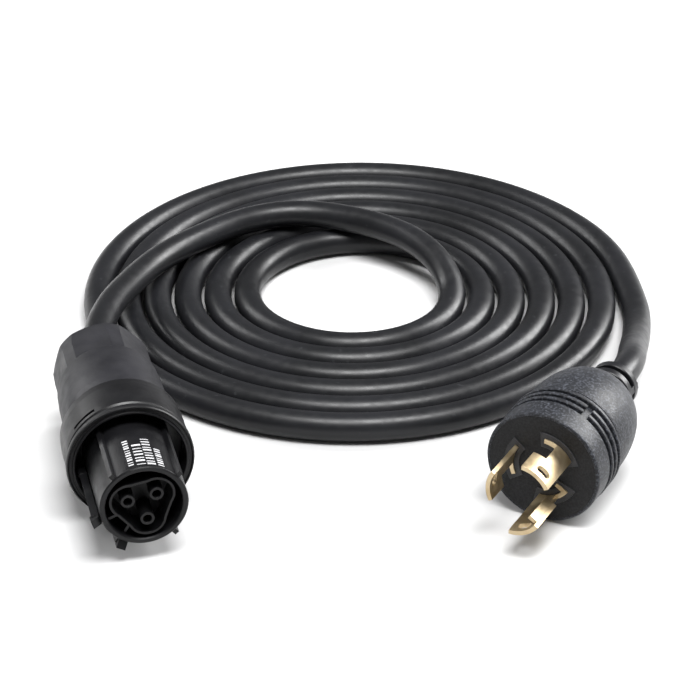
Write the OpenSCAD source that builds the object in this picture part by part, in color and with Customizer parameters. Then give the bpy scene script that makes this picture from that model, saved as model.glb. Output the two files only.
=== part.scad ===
// Shore power cord: a three-core cord wound in one flat coil, with a moulded three-blade
// locking plug on one end and a round three-pole female connector on the other.
// Millimetres, +Z up. The whole cord set lies on the plane z = 0.

/* [Cord] */
// Outside diameter of the cord's jacket
cord_d = 10.3; // [9.6:0.1:10.3]
// Outside diameter of one insulated core
core_d = 3.8; // [3.2:0.1:3.8]
// Diameter of one bare copper strand bundle
copper_d = 2.3; // [1.6:0.1:2.4]
// Distance from one turn of the coil to the next
coil_pitch = 11.3; // [11:0.1:11.6]
// Radius of the coil's innermost turn where it begins
coil_start_r = 35.6; // [34:0.1:38]
// Number of turns in the coil
coil_turns = 6; // [6:1:6]

/* [Connector] */
// Outside diameter of the nose that enters the mating inlet
nose_d = 29.4; // [29:0.1:29.6]
// Wall thickness of the nose
nose_wall = 1.9; // [1.7:0.1:1.9]
// Diameter of the collar behind the nose
collar_d = 43.2; // [43:0.1:43.6]
// Distance the nose stands out of the collar
nose_reach = 26.6; // [26.2:0.1:26.8]
// Length from the nose's rim to the rear of the gland nut
connector_length = 93; // [92.5:0.5:95]
// Pin hole diameter of the three contacts
contact_hole_d = 3; // [2.6:0.1:3.2]
// Distance from the nose's axis to each contact
contact_radius = 5.6; // [5.5:0.1:5.7]
// Width across the gland nut's wide flats
nut_across_flats = 31.8; // [31.6:0.1:32]
// Angle of the key slot round the nose, seen from the front
key_angle = 220; // [218:1:222]

/* [Plug] */
// Diameter of the plug's face
plug_face_d = 40.8; // [40.6:0.1:41.2]
// Diameter of the plug's grip behind its ribs
plug_grip_d = 39.4; // [39:0.1:39.8]
// Length from the plug's face to the end of its boot
plug_length = 62; // [61.5:0.5:63]
// Middle radius of the circle on which the curved blades stand
blade_circle_r = 11; // [10.9:0.1:11.1]
// Thickness of the blades
blade_t = 1.5; // [1.4:0.1:1.5]
// How far the two live blades stand out of the face
blade_length = 19.2; // [18.8:0.1:20]
// How far the ground blade stands out of the face
ground_blade_length = 24.8; // [24:0.1:25.4]

/* [Hidden] */
$fn = 96;

// Where the pieces lie on the plane
cord_r = cord_d / 2;
coil_centre = [4.6, 123.8];
connector_at = [-64.7, -46.08, collar_d / 2];
connector_yaw = 13.07;
rib_height = 0.3;       // how far the plug's ribs stand out of its front band
plug_at = [65.8, -21.64, plug_face_d / 2 + rib_height];
plug_yaw = -27.5;
fit = 0.05;             // gap between pieces that are pushed together
overcut = 1;            // how far a cutting shape runs past what it cuts

// The coil as one flat ring of its outer shape
ring_centre = [coil_centre[0] + 1.4, coil_centre[1] + 2.8];
ring_inner_r = coil_start_r - 1.6;
ring_outer_r = coil_start_r + coil_pitch * (coil_turns - 0.45) + cord_r;

// Connector stations, measured back from the nose's rim
recess_floor = nose_reach + 10;
body_front = nose_reach + 3.6;
body_rear = body_front + 17;
spigot_rear = body_rear + 18.6;
facet_front = connector_length - 18.4;
jacket_end = 64;
spigot_r = 15.87;
nut_thread_r = spigot_r + 0.08;
recess_r = 18.6;
body_r = 21.1;
nose_r = nose_d / 2;
nose_bore_r = nose_r - nose_wall;
key_half = 22.5;        // angle from the key slot to each latch arm

// Contact carrier
contact_angles = [key_angle + 180, key_angle + 300, key_angle + 60];
contact_r = 2.1;
contact_front = 6;
contact_rear = 45;
carrier_face = 0.6;
carrier_floor = 10;
carrier_base = 27;
carrier_rear = 41;
screw_station = 37;

// Latch
latch_inner_r = nose_r + 0.4;
latch_outer_r = nose_r + 3;
latch_pivot_r = nose_r + 1.7;
latch_pivot_s = recess_floor - 3;
latch_pin_r = 0.7;

// Gland
cage_r = 12.2;
seal_r = 9.4;
gland_hole_r = 6.2;

// Plug stations, measured back from the face
boot_front = 46.3;
plug_jacket_end = 41;
groove_r = plug_face_d / 2 - 1.6;
face_disc_r = 19.2;
face_disc_t = 6;
face_hub_r = 16.5;
face_hub_rear = 14;
crimp_radius = 10;
crimp_rear = 26.6;
core_offset = 30;       // angle from a blade's start to the core behind it
blade_starts = [27, 147, 267];
blade_in_r = blade_circle_r - blade_t / 2;
blade_out_r = blade_circle_r + blade_t / 2;
neck_angle = 36;
blade_angle = 59;
root_top = 1;
hook_start = 9.7;
flange_in_r = 7.2;

// Route of the cord from inside the connector to its resting place on top of the coil
lead_connector_route = [
  [-79.2, 16.3, 21.6], [-82.6, 30.9, 21.6], [-85.9, 45.5, 21.6], [-87.7, 55.4, 21.5], [-88.3, 65.4, 21.3],
  [-87.4, 77.4, 21], [-84.5, 92.4, 20.3], [-79.5, 109.4, 18.4], [-70, 131.8, 16.4], [-54.6, 151.4, 15.5],
  [-36.8, 165.4, 15.5], [-17.5, 170.6, 15.5], [2, 166, 15.5], [19, 155.9, 15.5], [26, 149.9, 15.5]
];
// Route of the cord from the coil's outermost turn into the plug
lead_plug_route = [
  [108, 123.8, 5.2], [108.9, 110.4, 5.3], [107.9, 96.4, 6.6], [105.8, 80.4, 10.2], [103.3, 64.4, 15.2],
  [101.6, 52.9, 18.7], [98.9, 42.9, 20.4], [95.3, 35.1, 20.7], [91.9, 28.5, 20.7], [84.7, 14.7, 20.7]
];

// ---------- helpers ----------

module at_connector() translate(connector_at) rotate([90, 0, connector_yaw]) children();

module at_plug() translate(plug_at) rotate([90, 0, plug_yaw]) children();

// A solid turned about the fitting's axis from [radius, station] points
module turned(points) rotate_extrude() polygon([for (p = points) [p[0], -p[1]]]);

// A plain tube between two stations
module sleeve(r_in, r_out, s0, s1) translate([0, 0, -s1]) difference() {
  cylinder(h = s1 - s0, r = r_out);
  translate([0, 0, -overcut]) cylinder(h = s1 - s0 + 2 * overcut, r = r_in);
}

module disc(r, s0, s1) translate([0, 0, -s1]) cylinder(h = s1 - s0, r = r);

// Everything between two angles, less than half a turn apart, and two stations
module wedge(s0, s1, a0, a1) {
  reach = 60;
  translate([0, 0, -s1]) linear_extrude(s1 - s0) polygon([
    [0, 0], reach * [cos(a0), sin(a0)], reach * [cos((a0 + a1) / 2), sin((a0 + a1) / 2)],
    reach * [cos(a1), sin(a1)]]);
}

// A part of a tube from angle a0 to a1
module sector(r_in, r_out, s0, s1, a0, a1) intersection() {
  sleeve(r_in, r_out, s0, s1);
  wedge(s0 - overcut, s1 + overcut, a0, a1);
}

// A round rod from p to q
module rod(p, q, r) {
  v = q - p;
  translate(p) rotate([0, acos(v[2] / norm(v)), atan2(v[1], v[0])]) cylinder(h = norm(v), r = r);
}

function polar(r, a, s) = [r * cos(a), r * sin(a), -s];

// Points on a smooth curve through the route's points
function curve_point(a, b, c, d, t) = 0.5 * ((2 * b) + (c - a) * t + (2 * a - 5 * b + 4 * c - d) * t * t
  + (3 * b - a - 3 * c + d) * t * t * t);
function clamp_index(i, n) = max(0, min(n - 1, i));
function smooth(route, steps) = let (n = len(route)) concat(
  [for (i = [0:n - 2], k = [0:steps - 1]) curve_point(
    route[clamp_index(i - 1, n)], route[i], route[i + 1], route[clamp_index(i + 2, n)], k / steps)],
  [route[n - 1]]);
function unit(v) = v / norm(v);
function ring_at(path, i, r, sides) = let (
    n = len(path),
    ahead = unit(path[min(i + 1, n - 1)] - path[max(i - 1, 0)]),
    side = unit(cross(ahead, [0, 0, 1])),
    over = cross(side, ahead)
  ) [for (k = [0:sides - 1]) path[i] + r * (cos(360 * k / sides) * side + sin(360 * k / sides) * over)];

// A round tube swept along a route
module swept(route, r, steps, sides) {
  path = smooth(route, steps);
  n = len(path);
  points = [for (i = [0:n - 1]) each ring_at(path, i, r, sides)];
  walls = [for (i = [0:n - 2], k = [0:sides - 1])
    [i * sides + k, i * sides + (k + 1) % sides, (i + 1) * sides + (k + 1) % sides, (i + 1) * sides + k]];
  polyhedron(points, concat(
    walls,
    [[for (k = [sides - 1:-1:0]) k]],
    [[for (k = [0:sides - 1]) (n - 1) * sides + k]]));
}

// ---------- cord ----------

module cord_coil() color([0.09, 0.09, 0.10]) translate([ring_centre[0], ring_centre[1], 0])
  rotate_extrude() union() {
    translate([ring_inner_r + cord_r, cord_r]) circle(r = cord_r);
    translate([ring_outer_r - cord_r, cord_r]) circle(r = cord_r);
    translate([ring_inner_r + cord_r, 0]) square([ring_outer_r - ring_inner_r - cord_d, cord_d]);
  }

module cord_lead_connector() color([0.09, 0.09, 0.10]) swept(lead_connector_route, cord_r, 2, 12);

module cord_lead_plug() color([0.09, 0.09, 0.10]) swept(lead_plug_route, cord_r, 2, 12);

// The stretch of one core that is bare of jacket at each end
module core(i) {
  trefoil_r = core_d / 2 * 1.17;
  at_connector() rod(
    polar(contact_radius, contact_angles[i], contact_rear + 0.7),
    polar(trefoil_r, contact_angles[i], jacket_end - 0.6), core_d / 2);
  at_plug() rod(
    polar(crimp_radius, blade_starts[i] + core_offset, crimp_rear + 1.4),
    polar(trefoil_r, blade_starts[i] + core_offset, plug_jacket_end - 0.9), core_d / 2);
}

module core_line() color([0.10, 0.10, 0.11]) core(0);

module core_neutral() color([0.88, 0.88, 0.85]) core(1);

module core_ground() color([0.10, 0.42, 0.20]) core(2);

// Stripped copper at both ends of the three cores
module conductor_ends() color([0.72, 0.42, 0.24]) for (i = [0:2]) {
  at_connector() rod(
    polar(contact_radius, contact_angles[i], contact_rear - 6),
    polar(contact_radius, contact_angles[i], contact_rear + 0.25), copper_d / 2);
  at_plug() rod(
    polar(crimp_radius, blade_starts[i] + core_offset, crimp_rear - 9),
    polar(crimp_radius, blade_starts[i] + core_offset, crimp_rear + 0.3), copper_d / 2);
}

// ---------- connector ----------

module nose_shell() color([0.08, 0.08, 0.09]) at_connector() {
  turned([
    [nose_bore_r, 0.4], [nose_bore_r + 0.4, 0], [nose_r - 0.4, 0], [nose_r, 0.4],
    [nose_r, recess_floor + 4.4], [nose_bore_r, recess_floor + 4.4]]);
  for (a = [90, 180, 270]) rotate([0, 0, key_angle + a])
    translate([nose_r - 0.3, -0.8, -recess_floor + 0.1]) cube([2, 1.6, recess_floor - 0.6]);
}

module front_collar() color([0.08, 0.08, 0.09]) at_connector() turned([
  [recess_r, body_front + 1.8], [recess_r, nose_reach + 0.3], [recess_r + 0.3, nose_reach - 0.1],
  [recess_r + 0.9, nose_reach - 0.1], [recess_r + 1.1, nose_reach + 0.6],
  [collar_d / 2 - 0.9, nose_reach + 0.6], [collar_d / 2 - 0.6, nose_reach],
  [collar_d / 2 - 0.2, nose_reach + 0.2], [collar_d / 2, nose_reach + 0.8],
  [collar_d / 2, nose_reach + 2.2], [body_r - 0.7, body_front - 0.4], [body_r - 0.9, body_front - fit],
  [recess_r + 0.8, body_front - fit], [recess_r + 0.8, body_front + 1.8]]);

module connector_body() color([0.08, 0.08, 0.09]) at_connector() {
  difference() {
    turned([
      [recess_r + 0.8 + fit, body_front], [body_r - 0.8, body_front], [body_r - 0.1, body_front + 1],
      [body_r, body_front + 4], [body_r, body_rear - 4], [body_r - 0.2, body_rear - 0.8],
      [body_r - 0.7, body_rear], [spigot_r, body_rear], [spigot_r, spigot_rear],
      [13.4, spigot_rear], [13.4, recess_floor + 4.5], [nose_r + 0.1, recess_floor + 4.5],
      [nose_r + 0.1, recess_floor + 2.6], [nose_r + 1.4, recess_floor + 2.6],
      [nose_r + 1.4, recess_floor + 1.2], [nose_r + 0.1, recess_floor + 1.2], [nose_r + 0.1, recess_floor],
      [recess_r, recess_floor], [recess_r, body_front + 1.8 + fit],
      [recess_r + 0.8 + fit, body_front + 1.8 + fit]]);
    // Narrow slot beside the lip
    sector(body_r - 1.2, body_r + overcut, body_front + 2.2, body_front + 3.4, 120, 146);
  }
  // Two ears that hold the latch's pin
  rotate([0, 0, key_angle]) for (side = [-1, 1]) difference() {
    translate([nose_r + 0.2, side * 5.3 - 1.1, -recess_floor - 0.2]) cube([2.8, 2.2, 4.4]);
    translate([latch_pivot_r, 0, -latch_pivot_s]) rotate([90, 0, 0])
      cylinder(h = 20, r = latch_pin_r + 0.02, center = true);
  }
}

module housing_seal() color([0.03, 0.03, 0.03]) at_connector()
  sleeve(nose_r + fit, nose_r + 1.35, recess_floor + 1.25, recess_floor + 2.55);

// A triangle with round corners, as circles joined by a core whose sides lie just inside their tangents
module three_lobes(r) {
  lobe_at = 5.3;
  inset = 0.2;
  corners = [for (a = contact_angles) lobe_at * [cos(a), sin(a)]];
  for (c = corners) translate(c) circle(r = r);
  polygon([for (i = [0:2], side = [-60, 60]) corners[i] + (r - inset) * [
    cos(contact_angles[i] + side), sin(contact_angles[i] + side)]]);
}

module contact_carrier() color([0.06, 0.06, 0.07]) at_connector() difference() {
  lobe_r = 6.4;
  wall = 0.8;
  sleeve_r = 2.35;
  key_wall_angle = 18;
  union() {
    disc(nose_bore_r - fit, carrier_base, carrier_rear);
    translate([0, 0, -carrier_base - 1]) linear_extrude(carrier_base + 1 - carrier_face) three_lobes(lobe_r);
    // Two walls of the key slot
    for (side = [-1, 1]) rotate([0, 0, key_angle + side * key_wall_angle])
      translate([8.7, -0.5, -carrier_base - 1]) cube([nose_bore_r - 8.9, 1, carrier_base - 1]);
  }
  // Deep three-lobed cup that leaves a sleeve standing round each contact
  translate([0, 0, -carrier_floor]) linear_extrude(carrier_floor) difference() {
    three_lobes(lobe_r - wall);
    for (a = contact_angles) translate(contact_radius * [cos(a), sin(a)]) circle(r = sleeve_r);
  }
  for (a = contact_angles) {
    translate(polar(contact_radius, a, contact_front + overcut))
      cylinder(h = contact_front + 2 * overcut, r = contact_hole_d / 2);
    translate(polar(contact_radius, a, carrier_rear + overcut))
      cylinder(h = carrier_rear + overcut - contact_front, r = contact_r + fit);
    // Way in for the screwdriver
    translate([0, 0, -screw_station]) rotate([0, 90, a]) cylinder(h = 20, r = 1.7);
  }
}

module contact(i) at_connector() difference() {
  translate(polar(contact_radius, contact_angles[i], contact_rear))
    cylinder(h = contact_rear - contact_front - fit, r = contact_r);
  translate(polar(contact_radius, contact_angles[i], 22)) cylinder(h = 20, r = contact_hole_d / 2);
  translate(polar(contact_radius, contact_angles[i], contact_rear + overcut))
    cylinder(h = 10 + overcut, r = copper_d / 2 + 0.08);
  translate([0, 0, -screw_station]) rotate([0, 90, contact_angles[i]])
    translate([0, 0, contact_radius]) cylinder(h = 5, r = 1.3);
}

module contact_line() color([0.78, 0.68, 0.42]) contact(0);

module contact_neutral() color([0.78, 0.68, 0.42]) contact(1);

module contact_ground() color([0.78, 0.68, 0.42]) contact(2);

module terminal_screws() color([0.72, 0.72, 0.74]) at_connector() for (a = contact_angles)
  translate([0, 0, -screw_station]) rotate([0, 90, a]) difference() {
    translate([0, 0, contact_radius + copper_d / 2 + 0.2]) cylinder(h = 3, r = 1.25);
    translate([-2, -0.3, contact_radius + copper_d / 2 + 2.5]) cube([4, 0.6, 2]);
  }

module release_latch() color([0.08, 0.08, 0.09]) at_connector() difference() {
  bridge_front = latch_pivot_s - 5.4;
  arm_half = 6.8;
  rotate([0, 0, key_angle]) union() {
    sector(latch_inner_r, latch_outer_r, bridge_front, latch_pivot_s - 1.6, -key_half - 7, key_half + 7);
    translate([latch_inner_r + 0.05, -3.8, -latch_pivot_s - 1.5])
      cube([latch_outer_r - latch_inner_r - 0.2, 7.6, 4]);
    for (side = [-1, 1]) {
      sector(latch_inner_r - 0.1, latch_outer_r - 0.15, 2.6, bridge_front + 0.6,
        side * key_half - arm_half, side * key_half + arm_half);
      // Pointed tip that leans outwards
      rotate([90, 0, side * key_half]) linear_extrude(3.2, center = true) polygon([
        [latch_inner_r, -4], [latch_outer_r - 0.4, -4.4], [latch_outer_r + 0.4, -2.8],
        [latch_outer_r + 0.3, -0.3], [latch_inner_r, -1.8]]);
    }
  }
  rotate([0, 0, key_angle]) translate([latch_pivot_r, 0, -latch_pivot_s]) rotate([90, 0, 0])
    cylinder(h = 20, r = latch_pin_r + 0.05, center = true);
}

module latch_pin() color([0.75, 0.75, 0.77]) at_connector() rotate([0, 0, key_angle])
  translate([latch_pivot_r, 0, -latch_pivot_s]) rotate([90, 0, 0])
  cylinder(h = 12.6, r = latch_pin_r, center = true);

// A six-sided prism given by the distance across its flats
module hex_prism(across, s0, s1) translate([0, 0, -s1]) cylinder(h = s1 - s0, r = across / sqrt(3), $fn = 6);

module gland_nut() color([0.10, 0.10, 0.11]) at_connector() {
  wide_flat_angle = 45;
  corner_across = nut_across_flats * 1.073;
  difference() {
    intersection() {
      turned([
        [0, body_rear + 0.4], [17.4, body_rear + 0.4], [17.8, body_rear + 0.9], [18.3, 54], [18.4, 60],
        [18.2, 68], [17.8, facet_front], [16.9, connector_length - 1], [16, connector_length],
        [0, connector_length]]);
      union() {
        disc(20, body_rear, facet_front);
        intersection() {
          rotate([0, 0, wide_flat_angle + 30]) hex_prism(nut_across_flats, facet_front - 1, connector_length);
          rotate([0, 0, wide_flat_angle]) hex_prism(corner_across, facet_front - 1, connector_length);
        }
      }
    }
    disc(nut_thread_r, body_rear - overcut, spigot_rear + 0.8);
    disc(cage_r + 0.1, spigot_rear, facet_front + 10.2);
    disc(gland_hole_r, spigot_rear, connector_length + overcut);
    translate([0, 0, -connector_length - 0.01]) cylinder(h = 1.5, r1 = gland_hole_r + 1.4, r2 = gland_hole_r);
  }
}

module clamp_cage() color([0.30, 0.31, 0.33]) at_connector() difference() {
  sleeve(seal_r + 0.1, cage_r, spigot_rear + 1, facet_front + 9.8);
  for (k = [0:3]) rotate([0, 0, 45 * k]) translate([-20, -0.8, -facet_front - 20]) cube([40, 1.6, 21.5]);
}

module gland_seal() color([0.03, 0.03, 0.03]) at_connector()
  sleeve(cord_r + 0.12, seal_r, spigot_rear + 4, facet_front + 7);

// ---------- plug ----------

// One groove and the rib behind it
function rib_profile(s) = [
  [groove_r, s], [groove_r, s + 1.4],
  [plug_face_d / 2, s + 1.5], [plug_face_d / 2 + rib_height, s + 1.8],
  [plug_face_d / 2 + rib_height, s + 2.8], [plug_face_d / 2, s + 3.1]];

module plug_body() color([0.13, 0.13, 0.14]) at_plug() difference() {
  face_r = plug_face_d / 2;
  grip_r = plug_grip_d / 2;
  shoulder_from = 24;
  shoulder_end_r = 11.8;
  cavity_r = 15.05;
  turned(concat(
    [[5.3, boot_front - 4.6], [5.3, plug_jacket_end + 0.4], [cavity_r, 30], [cavity_r, face_hub_rear + fit],
     [face_hub_r + fit, face_hub_rear + fit], [face_hub_r + fit, face_disc_t + fit],
     [face_disc_r + fit, face_disc_t + fit], [face_disc_r + fit, 0], [face_r - 0.5, 0], [face_r - 0.1, 0.4],
     [face_r, 1.2], [face_r, 9]],
    rib_profile(9), rib_profile(12.2), rib_profile(15.4),
    [[groove_r, 18.6], [groove_r, 19.9], [grip_r - 0.1, 20.1], [grip_r, 20.9]],
    [for (a = [0:9:90]) [
      shoulder_end_r + (grip_r - shoulder_end_r) * cos(a),
      shoulder_from + (boot_front - shoulder_from) * sin(a)]],
    [[8.05, boot_front], [8.05, boot_front - 4], [5.3, boot_front - 4]]));
  // Two cross notches in the ribs
  for (a = [60, 240]) rotate([0, 0, a]) translate([groove_r, -1.2, -15.4]) cube([4, 2.4, 5.4]);
}

// The way through the face for one blade's root
module blade_slots(i) rotate([0, 0, blade_starts[i]])
  sector(blade_in_r - fit, blade_out_r + fit, -2, face_hub_rear + overcut, -0.4, blade_angle + 0.4);

// The ground blade's inward fold, as a straight plate at the end of its arc
module fold(z0, z1, extra) rotate([0, 0, blade_angle])
  translate([flange_in_r - extra, -blade_t - 0.1 - extra, z0])
  cube([blade_in_r + 0.4 - flange_in_r + 2 * extra, blade_t + 2 * extra, z1 - z0]);

module plug_face() color([0.11, 0.11, 0.12]) at_plug() difference() {
  union() {
    disc(face_disc_r, 0, face_disc_t);
    disc(face_hub_r, face_disc_t - overcut, face_hub_rear);
    // Raised pad round each blade's root
    for (a = blade_starts) rotate([0, 0, a]) sector(8.3, 13.6, -0.5, 1, -8, 67);
    rotate([0, 0, blade_starts[2]]) sector(5.6, 9, -0.5, 1, 44, 67);
  }
  for (i = [0:2]) blade_slots(i);
  rotate([0, 0, blade_starts[2]]) fold(-face_hub_rear - overcut, 2, fit);
}

module inner_block() color([0.20, 0.20, 0.21]) at_plug() difference() {
  disc(15, face_hub_rear + 0.1, crimp_rear);
  for (a = blade_starts) translate(polar(crimp_radius, a + core_offset, crimp_rear + overcut))
    cylinder(h = 20, r = 2.7);
}

module cord_boot() color([0.08, 0.08, 0.09]) at_plug() {
  core_r = 7;
  ring_r = 8.8;
  difference() {
    union() {
      disc(8, boot_front - 3.95, boot_front + 1);
      disc(core_r, boot_front, plug_length);
      for (s = [boot_front + 2.2, boot_front + 7.2, boot_front + 12.2]) turned([
        [core_r - 1, s], [ring_r - 0.3, s], [ring_r, s + 0.4], [ring_r - 0.1, s + 2.8],
        [ring_r - 0.4, s + 3.1], [core_r - 1, s + 3.1]]);
      for (a = [10, 190]) rotate([0, 0, a]) translate([core_r - 1, -1.2, -plug_length + 0.2])
        cube([ring_r - core_r + 0.8, 2.4, plug_length - boot_front - 0.3]);
    }
    disc(cord_r + fit, boot_front - 6, plug_length + overcut);
  }
}

// A blade is one curved plate, notched behind its hook down to its root
module blade(length, folded) difference() {
  union() {
    difference() {
      sector(blade_in_r, blade_out_r, -length, face_hub_rear, 0, blade_angle);
      wedge(-hook_start, -root_top, neck_angle, blade_angle + 20);
    }
    if (folded) {
      fold(-face_hub_rear + 0.2, root_top - 0.2, 0);
      fold(hook_start + 0.3, length - 2.4, 0);
    }
  }
  // Oval hole through the tip
  rotate([0, 0, 25]) for (shift = [-5, 0, 5]) rotate([0, 90, shift])
    translate([-length + 3.6, 0, blade_in_r - 2]) cylinder(h = 6, r = 1.6);
}

module blade_line() color([0.80, 0.71, 0.50]) at_plug() rotate([0, 0, blade_starts[0]])
  blade(blade_length, false);

module blade_neutral() color([0.80, 0.71, 0.50]) at_plug() rotate([0, 0, blade_starts[1]])
  blade(blade_length, false);

module blade_ground() color([0.80, 0.71, 0.50]) at_plug() rotate([0, 0, blade_starts[2]])
  blade(ground_blade_length, true);

module crimp_barrels() color([0.76, 0.66, 0.42]) at_plug() for (a = blade_starts) difference() {
  translate(polar(crimp_radius, a + core_offset, crimp_rear))
    cylinder(h = crimp_rear - face_hub_rear - 0.15, r = 2.6);
  translate(polar(crimp_radius, a + core_offset, crimp_rear + overcut))
    cylinder(h = 11, r = copper_d / 2 + 0.08);
}

cord_coil();
cord_lead_connector();
cord_lead_plug();
core_line();
core_neutral();
core_ground();
conductor_ends();
nose_shell();
front_collar();
connector_body();
housing_seal();
contact_carrier();
contact_line();
contact_neutral();
contact_ground();
terminal_screws();
release_latch();
latch_pin();
gland_nut();
clamp_cage();
gland_seal();
plug_body();
plug_face();
inner_block();
cord_boot();
blade_line();
blade_neutral();
blade_ground();
crimp_barrels();
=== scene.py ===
"""The looks of the coiled shore power cord.

It adds the cord at its real length, the fittings' materials, bars in place of the nose's print, the floor,
the light and the camera.
"""

import math

import bmesh
import bpy
import numpy as np
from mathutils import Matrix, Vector


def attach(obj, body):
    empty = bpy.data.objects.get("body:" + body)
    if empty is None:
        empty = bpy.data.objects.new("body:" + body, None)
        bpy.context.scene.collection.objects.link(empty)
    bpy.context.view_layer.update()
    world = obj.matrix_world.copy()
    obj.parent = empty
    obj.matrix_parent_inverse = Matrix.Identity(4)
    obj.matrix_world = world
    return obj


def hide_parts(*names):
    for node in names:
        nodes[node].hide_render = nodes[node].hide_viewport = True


MM = 0.001


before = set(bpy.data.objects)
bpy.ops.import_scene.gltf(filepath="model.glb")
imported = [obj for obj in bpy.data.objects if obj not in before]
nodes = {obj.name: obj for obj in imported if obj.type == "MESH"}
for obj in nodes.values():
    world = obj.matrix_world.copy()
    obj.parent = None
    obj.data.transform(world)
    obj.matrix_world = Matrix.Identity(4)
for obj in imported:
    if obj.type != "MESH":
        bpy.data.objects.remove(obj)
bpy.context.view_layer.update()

# ---------- camera ----------

TARGET = Vector((2, 91.4, 0)) * MM  # the point of the floor in the middle of the picture
CAMERA_DISTANCE = 1070 * MM
CAMERA_ELEVATION = math.radians(30.2)
LENS_MM = 149.1
SENSOR_MM = 36
NEAREST_SEEN = 0.01
FARTHEST_SEEN = 50


def add_camera():
    data = bpy.data.cameras.new("camera")
    data.lens = LENS_MM
    data.sensor_width = SENSOR_MM
    data.clip_start = NEAREST_SEEN
    data.clip_end = FARTHEST_SEEN
    camera = bpy.data.objects.new("camera", data)
    back = Vector((0, -math.cos(CAMERA_ELEVATION), math.sin(CAMERA_ELEVATION)))
    camera.location = TARGET + CAMERA_DISTANCE * back
    camera.rotation_euler = back.to_track_quat("Z", "Y").to_euler()
    bpy.context.scene.collection.objects.link(camera)
    bpy.context.scene.camera = camera


add_camera()

# ---------- cord ----------

CORD_D = 10.3
COIL_CENTRE = (4.6, 123.8)
COIL_START_R = 35.6
COIL_PITCH = 11.3
COIL_TURNS = 6
POINTS_PER_TURN = 18
COIL_FIRST_POINT = 2  # the step down takes the place of the points before this one
FLOOR_GAP = 0.02
FLAT_Z = CORD_D / 2 + FLOOR_GAP  # height of the centreline where the cord lies on the floor
RING_STEP = 2.5
CORD_SIDES = 32

# From inside the connector, over the coil, to the top of its innermost turn (the same points as in the part)
LEAD_CONNECTOR = [
    (-79.2, 16.3, 21.6), (-82.6, 30.9, 21.6), (-85.9, 45.5, 21.6), (-87.7, 55.4, 21.5), (-88.3, 65.4, 21.3),
    (-87.4, 77.4, 21), (-84.5, 92.4, 20.3), (-79.5, 109.4, 18.4), (-70, 131.8, 16.4), (-54.6, 151.4, 15.5),
    (-36.8, 165.4, 15.5), (-17.5, 170.6, 15.5), (2, 166, 15.5), (19, 155.9, 15.5),
]
# Down from there to the floor, inside the next turn
STEP_DOWN = [(31.3, 143.6, 14), (37.6, 133.6, 10.8), (40.3, 123.8, 7.4)]
# From the outermost turn into the plug
LEAD_PLUG = [
    (108, 123.8, 5.2), (108.9, 110.4, 5.3), (107.9, 96.4, 6.6), (105.8, 80.4, 10.2), (103.3, 64.4, 15.2),
    (101.6, 52.9, 18.7), (98.9, 42.9, 20.4), (95.3, 35.1, 20.7), (91.9, 28.5, 20.7), (84.7, 14.7, 20.7),
]


def coil_points():
    """The centreline of the flat coil, clockwise from the inside out, without its two joins."""
    for i in range(COIL_FIRST_POINT, COIL_TURNS * POINTS_PER_TURN):
        turn = i / POINTS_PER_TURN
        angle = -2 * math.pi * turn
        r = COIL_START_R + COIL_PITCH * turn
        yield (COIL_CENTRE[0] + r * math.cos(angle), COIL_CENTRE[1] + r * math.sin(angle), FLAT_Z)


def natural_spline(points, step):
    """Points about one step apart on the smooth curve through the given points."""
    p = np.array(points, float)
    t = np.concatenate([[0], np.cumsum(np.linalg.norm(np.diff(p, axis=0), axis=1))])
    h = np.diff(t)
    n = len(p)
    a = np.eye(n)
    rhs = np.zeros((n, 3))
    for i in range(1, n - 1):
        a[i, i - 1 : i + 2] = h[i - 1], 2 * (h[i - 1] + h[i]), h[i]
        rhs[i] = 6 * ((p[i + 1] - p[i]) / h[i] - (p[i] - p[i - 1]) / h[i - 1])
    m = np.linalg.solve(a, rhs)  # the curve's second derivatives at the points, zero at both ends
    at = np.linspace(0, t[-1], int(t[-1] / step) + 1)
    i = np.clip(np.searchsorted(t, at, side="right") - 1, 0, n - 2)
    since = (at - t[i])[:, None]
    left = (t[i + 1] - at)[:, None]
    span = h[i][:, None]
    return (
        (m[i] * left**3 + m[i + 1] * since**3) / (6 * span)
        + (p[i] / span - m[i] * span / 6) * left
        + (p[i + 1] / span - m[i + 1] * span / 6) * since
    )


def finished(name, mesh, smooth=True):
    """Puts a bmesh in the scene as a named object."""
    data = bpy.data.meshes.new(name)
    mesh.to_mesh(data)
    mesh.free()
    for face in data.polygons:
        face.use_smooth = smooth
    obj = bpy.data.objects.new(name, data)
    bpy.context.scene.collection.objects.link(obj)
    return obj


def loft(mesh, rings):
    """Joins closed rings of vertices into one solid with flat ends."""
    sides = len(rings[0])
    for low, high in zip(rings, rings[1:]):
        for k in range(sides):
            mesh.faces.new((low[k], low[(k + 1) % sides], high[(k + 1) % sides], high[k]))
    mesh.faces.new(rings[0][::-1])
    mesh.faces.new(rings[-1])


def sweep(name, path, radius, sides):
    """A round tube along a path, with its rings turned as little as possible."""
    tangent = np.gradient(path, axis=0)
    tangent /= np.linalg.norm(tangent, axis=1)[:, None]
    side = np.cross(tangent[0], (0, 0, 1.0))
    side /= np.linalg.norm(side)
    mesh = bmesh.new()
    rings = []
    for point, along in zip(path, tangent):
        side = side - along * (side @ along)
        side /= np.linalg.norm(side)
        over = np.cross(side, along)
        ring = []
        for k in range(sides):
            a = 2 * math.pi * k / sides
            ring.append(mesh.verts.new(point + radius * (math.cos(a) * side + math.sin(a) * over)))
        rings.append(ring)
    loft(mesh, rings)
    bmesh.ops.recalc_face_normals(mesh, faces=mesh.faces)
    return finished(name, mesh)


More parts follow.
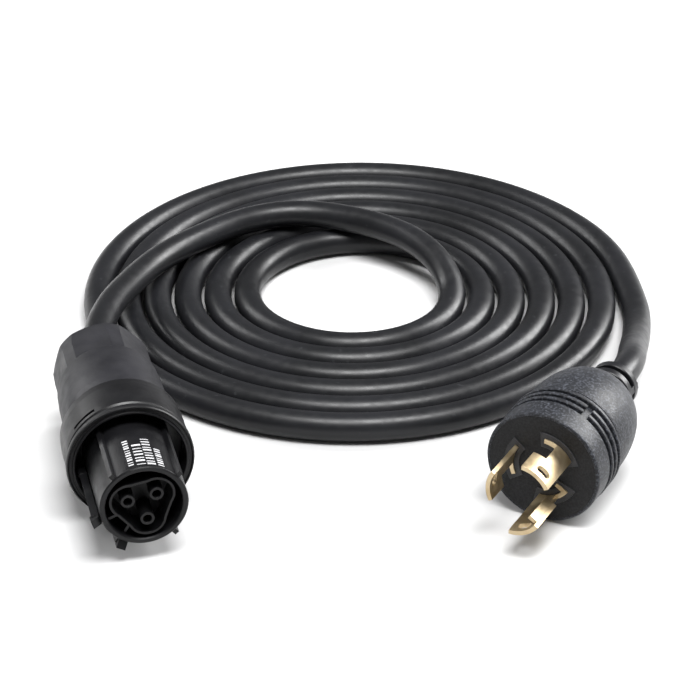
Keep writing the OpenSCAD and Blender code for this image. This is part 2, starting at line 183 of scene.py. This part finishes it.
route = LEAD_CONNECTOR + STEP_DOWN + list(coil_points()) + LEAD_PLUG
cord_path = natural_spline(route, RING_STEP) * MM
cord = sweep("cord_jacket", cord_path, CORD_D / 2 * MM, CORD_SIDES)
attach(cord, "cord_set")
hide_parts("cord_coil", "cord_lead_connector", "cord_lead_plug")

# ---------- plain bars where the connector's nose is printed ----------

NOSE_AT = (-64.7, -46.08, 21.6)
NOSE_YAW = math.radians(13.07)
NOSE_R = 14.7
BAR_LIFT = 0.03
BAR_STEPS = 4
# Angle round the nose, half width, first and last station behind the rim, mm from one bar to the next
BAR_COLUMNS = [
    (103, 0.9, 2.4, 19.5, 1.45),
    (90, 1.5, 2.0, 16.8, 1.9),
    (77, 1.4, 1.8, 19.3, 1.7),
    (64, 1.1, 1.8, 13.8, 1.4),
]
BAR_LENGTHS = (0.7, 0.45, 0.95, 0.55, 0.8)


def on_nose(angle, station, r):
    """A point in the shared frame, mm, from an angle and a distance behind the nose's rim."""
    x, z = r * math.cos(angle), r * math.sin(angle)
    return (
        NOSE_AT[0] + x * math.cos(NOSE_YAW) - station * math.sin(NOSE_YAW),
        NOSE_AT[1] + x * math.sin(NOSE_YAW) + station * math.cos(NOSE_YAW),
        NOSE_AT[2] + z,
    )


def curved_bar(mesh, degrees, half_width, front, rear):
    """One thin bar that lies on the nose, closed all round."""
    low, high = NOSE_R - BAR_LIFT, NOSE_R + BAR_LIFT
    corners = ((front, low), (front, high), (rear, high), (rear, low))
    rows = []
    for k in range(BAR_STEPS + 1):
        angle = math.radians(degrees) + half_width / NOSE_R * (2 * k / BAR_STEPS - 1)
        rows.append([mesh.verts.new([c * MM for c in on_nose(angle, s, r)]) for s, r in corners])
    loft(mesh, rows)


def nose_bars():
    mesh = bmesh.new()
    for column, (degrees, half_width, front, rear, pitch) in enumerate(BAR_COLUMNS):
        for k in range(int((rear - front) / pitch)):
            length = BAR_LENGTHS[(k + column) % len(BAR_LENGTHS)]
            curved_bar(mesh, degrees, half_width, front + k * pitch, front + k * pitch + length)
    bmesh.ops.recalc_face_normals(mesh, faces=mesh.faces)
    bars = finished("nose_bars", mesh, smooth=False)
    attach(bars, "cord_set")
    return bars


bars = nose_bars()

# ---------- materials ----------

PLUG_AT = (65.8, -21.64, 20.7)
PLUG_OUT = (-0.46175, -0.88701, 0)
PAD_RISE = (0.1, 0.3)  # heights above the plug's face, mm, between which its look turns into the pads'
NOISE_SPAN = (0.35, 0.65)  # most of a noise's values lie in here
EDGE_SAMPLES = 4
PLASTIC_EDGE_MM = 0.25
METAL_EDGE_MM = 0.2
METAL_GRAIN_MM = 0.004


class Nodes:
    """Short calls for building one node material. Noise scales are in features per metre."""

    def __init__(self, name):
        self.material = bpy.data.materials.new(name)
        self.material.use_nodes = True
        self.tree = self.material.node_tree
        self.shader = self.tree.nodes["Principled BSDF"]
        self.place = self.add("ShaderNodeTexCoord").outputs["Object"]

    def add(self, kind, **inputs):
        node = self.tree.nodes.new(kind)
        for key, value in inputs.items():
            self.put(node.inputs[key.replace("_", " ")], value)
        return node

    def put(self, socket, value):
        if isinstance(value, bpy.types.NodeSocket):
            self.tree.links.new(value, socket)
        else:
            socket.default_value = value

    def noise(self, per_metre, detail):
        node = self.add("ShaderNodeTexNoise", Vector=self.place, Scale=per_metre, Detail=detail)
        return node.outputs["Fac"]

    def between(self, fac, low, high, span=NOISE_SPAN):
        """Low to high as the input goes from the span's start to its end."""
        node = self.add("ShaderNodeMapRange", Value=fac)
        node.inputs["From Min"].default_value = span[0]
        node.inputs["From Max"].default_value = span[1]
        node.inputs["To Min"].default_value = low
        node.inputs["To Max"].default_value = high
        return node.outputs[0]

    def mix(self, fac, a, b):
        node = self.tree.nodes.new("ShaderNodeMix")
        node.data_type = "RGBA"
        self.put(node.inputs["Factor"], fac)
        self.put(node.inputs["A"], (*a, 1) if isinstance(a, tuple) else a)
        self.put(node.inputs["B"], (*b, 1) if isinstance(b, tuple) else b)
        return node.outputs["Result"]

    def mottle(self, per_metre, detail, dark, light):
        """A colour that wanders between dark and light."""
        return self.mix(self.between(self.noise(per_metre, detail), 0, 1), dark, light)

    def bump(self, height, distance_mm, strength, before=None):
        node = self.add("ShaderNodeBump", Height=height, Strength=strength, Distance=distance_mm * MM)
        if before is not None:
            self.put(node.inputs["Normal"], before)
        return node.outputs[0]

    def vector_math(self, operation, a, b):
        node = self.tree.nodes.new("ShaderNodeVectorMath")
        node.operation = operation
        self.put(node.inputs[0], a)
        self.put(node.inputs[1], b)
        return node

    def height_above(self, at_mm, direction, span_mm):
        """0 to 1 as a point of the piece goes through a span of heights along a direction from a place."""
        away = self.vector_math("SUBTRACT", self.place, [c * MM for c in at_mm])
        along = self.vector_math("DOT_PRODUCT", away.outputs["Vector"], direction)
        return self.between(along.outputs["Value"], 0, 1, [height * MM for height in span_mm])

    def soft_edges(self, radius_mm):
        """A normal that rounds sharp edges over a small radius."""
        node = self.add("ShaderNodeBevel", Radius=radius_mm * MM)
        node.samples = EDGE_SAMPLES
        return node.outputs[0]

    def set(self, **inputs):
        for key, value in inputs.items():
            self.put(self.shader.inputs[key.replace("_", " ")], value)
        return self.material


def moulded(name, dark, light, rough, grain_mm, grain_depth_mm, wear=0.06, grain_top_glint=0.0):
    """Moulded plastic: mottled colour, grain, uneven gloss, soft edges. The last argument paints highlights:
    a lighter colour on the grain's raised peaks.
    """
    m = Nodes(name)
    fine = m.noise(1000 / grain_mm, detail=2)
    colour = m.mottle(60, 4, dark, light)
    # Painted highlights: the grain's peaks, where its bump is highest, get a lighter colour.
    if grain_top_glint:
        painted_glint_colour = tuple(c * (1 + grain_top_glint) for c in light)
        colour = m.mix(m.between(fine, 0, 1, span=(0.48, 0.72)), colour, painted_glint_colour)
    return m.set(
        Base_Color=colour,
        Roughness=m.between(m.noise(220, detail=5), rough - wear, rough + wear),
        Specular_IOR_Level=0.25,
        Normal=m.bump(fine, grain_depth_mm, strength=1.0, before=m.soft_edges(PLASTIC_EDGE_MM)),
    )


def jacket_material():
    """Extruded jacket: near black, faintly wavy, with small scuffs."""
    m = Nodes("jacket_pvc")
    colour = m.mottle(35, 4, (0.005, 0.0052, 0.006), (0.009, 0.0093, 0.011))
    scuffs = m.between(m.noise(420, detail=6), 0, 1, span=(0.66, 0.74))
    fine = m.bump(m.noise(2600, detail=2), distance_mm=0.02, strength=0.5)
    return m.set(
        Base_Color=m.mix(scuffs, colour, (0.02, 0.021, 0.023)),
        Roughness=m.between(m.noise(300, detail=4), 0.33, 0.42),
        Specular_IOR_Level=0.3,
        Normal=m.bump(m.noise(160, detail=2), distance_mm=0.06, strength=0.4, before=fine),
    )


def plug_face_material():
    """The plug's front: a matte grained face with smoother, paler pads round the blades."""
    m = Nodes("plug_face_pvc")
    pad = m.height_above(PLUG_AT, PLUG_OUT, PAD_RISE)
    fine = m.noise(1500, detail=2)
    face = m.mix(m.between(fine, 0, 1), (0.005, 0.005, 0.0055), (0.014, 0.014, 0.015))
    pads = m.mottle(400, 3, (0.022, 0.022, 0.023), (0.034, 0.034, 0.036))
    return m.set(
        Base_Color=m.mix(pad, face, pads),
        Roughness=m.between(pad, 0.62, 0.45, span=(0, 1)),
        Specular_IOR_Level=0.25,
        Normal=m.bump(fine, distance_mm=0.05, strength=1.0, before=m.soft_edges(PLASTIC_EDGE_MM)),
    )


def metal(name, dark, light, rough):
    """Stamped or turned metal: light tarnish, fine grain, softened edges."""
    m = Nodes(name)
    edges = m.soft_edges(METAL_EDGE_MM)
    return m.set(
        Base_Color=m.mottle(140, 4, dark, light),
        Metallic=1.0,
        Roughness=m.between(m.noise(600, detail=3), rough - 0.04, rough + 0.06),
        Normal=m.bump(m.noise(900, detail=2), METAL_GRAIN_MM, strength=0.4, before=edges),
    )


def assign(material, *names):
    for name in names:
        obj = nodes[name]
        obj.data.materials.clear()
        obj.data.materials.append(material)


# Name, dark and light colour, roughness, grain and its depth in mm, and the nodes
PLASTICS = [
    # Painted light and shade: the connector's shell gets a darker tone as painted shade and the gland nut a
    # greyer tone as painted light, so the nut reads as lit against a shaded shell.
    ("connector_nylon", (0.0035, 0.0035, 0.004), (0.006, 0.006, 0.007), 0.38, 0.35, 0.010,
     ("nose_shell", "front_collar", "connector_body", "release_latch")),
    ("gland_nylon", (0.010, 0.010, 0.012), (0.016, 0.016, 0.019), 0.46, 0.3, 0.012, ("gland_nut",)),
    ("carrier_nylon", (0.002, 0.002, 0.0025), (0.004, 0.004, 0.0045), 0.4, 0.4, 0.008, ("contact_carrier",)),
    ("cage_nylon", (0.10, 0.105, 0.11), (0.13, 0.135, 0.14), 0.5, 0.4, 0.01, ("clamp_cage",)),
    ("seal_rubber", (0.010, 0.010, 0.010), (0.016, 0.016, 0.016), 0.65, 0.4, 0.02,
     ("gland_seal", "housing_seal")),
    ("boot_pvc", (0.005, 0.005, 0.006), (0.009, 0.009, 0.011), 0.36, 0.4, 0.012, ("cord_boot",)),
    ("inner_pvc", (0.05, 0.05, 0.055), (0.07, 0.07, 0.075), 0.55, 0.4, 0.02, ("inner_block",)),
    ("core_black_pvc", (0.012, 0.012, 0.013), (0.018, 0.018, 0.019), 0.4, 0.4, 0.01, ("core_line",)),
    ("core_white_pvc", (0.62, 0.62, 0.58), (0.72, 0.72, 0.68), 0.4, 0.4, 0.01, ("core_neutral",)),
    ("core_green_pvc", (0.02, 0.16, 0.05), (0.03, 0.22, 0.07), 0.4, 0.4, 0.01, ("core_ground",)),
]
# Name, dark and light colour, roughness and the nodes
METALS = [
    ("blade_brass", (0.47, 0.36, 0.21), (0.60, 0.49, 0.32), 0.42,
     ("blade_line", "blade_neutral", "blade_ground")),
    ("contact_brass", (0.55, 0.42, 0.20), (0.68, 0.54, 0.28), 0.28,
     ("contact_line", "contact_neutral", "contact_ground", "crimp_barrels")),
    ("bare_copper", (0.55, 0.26, 0.14), (0.70, 0.36, 0.20), 0.35, ("conductor_ends",)),
    ("plated_steel", (0.45, 0.45, 0.46), (0.6, 0.6, 0.62), 0.3, ("terminal_screws", "latch_pin")),
]

for *look, names in PLASTICS:
    assign(moulded(*look), *names)
for *look, names in METALS:
    assign(metal(*look), *names)
# The plug body gets painted highlights on its grain's peaks.
assign(
    moulded("plug_pvc", dark=(0.008, 0.0085, 0.0105), light=(0.014, 0.015, 0.018), rough=0.46, grain_mm=0.8,
            grain_depth_mm=0.09, wear=0.05, grain_top_glint=3.0),
    "plug_body",
)
assign(plug_face_material(), "plug_face")
cord.data.materials.append(jacket_material())
bars.data.materials.append(
    moulded("white_ink", dark=(0.34, 0.34, 0.35), light=(0.50, 0.50, 0.51), rough=0.5, grain_mm=0.3,
            grain_depth_mm=0.004, wear=0.05)
)

# ---------- floor and light ----------

FLOOR_HALF_WIDTH = 6.0
WORLD_STRENGTH = 0.2
LIGHT_AIM = Vector((0.0, 0.1, 0.0))
# Name, place, width and height in metres, and watts
LIGHTS = [
    ("overhead", (0.15, -0.35, 1.5), (0.9, 0.6), 46),
    ("right_back", (1.15, 0.75, 0.75), (0.5, 1.1), 40),
    ("left_back", (-1.15, 0.75, 0.8), (0.5, 1.1), 14),
]


def add_floor():
    mesh = bmesh.new()
    bmesh.ops.create_grid(mesh, x_segments=2, y_segments=2, size=FLOOR_HALF_WIDTH)
    floor = finished("floor", mesh, smooth=False)
    m = Nodes("paper_sweep")
    colour = m.mottle(9, 3, (0.50, 0.50, 0.503), (0.53, 0.53, 0.53))
    floor.data.materials.append(m.set(Base_Color=colour, Roughness=0.9))


def area_light(name, at, size, watts):
    data = bpy.data.lights.new(name, "AREA")
    data.shape = "RECTANGLE"
    data.size, data.size_y = size
    data.energy = watts
    light = bpy.data.objects.new(name, data)
    light.location = at
    light.rotation_euler = (Vector(at) - LIGHT_AIM).to_track_quat("Z", "Y").to_euler()
    bpy.context.scene.collection.objects.link(light)


def add_light():
    world = bpy.data.worlds.new("studio")
    world.use_nodes = True
    background = world.node_tree.nodes["Background"]
    background.inputs["Color"].default_value = (1, 1, 1, 1)
    background.inputs["Strength"].default_value = WORLD_STRENGTH
    bpy.context.scene.world = world
    for light in LIGHTS:
        area_light(*light)
    bpy.context.scene.view_settings.view_transform = "Standard"


add_floor()
add_light()
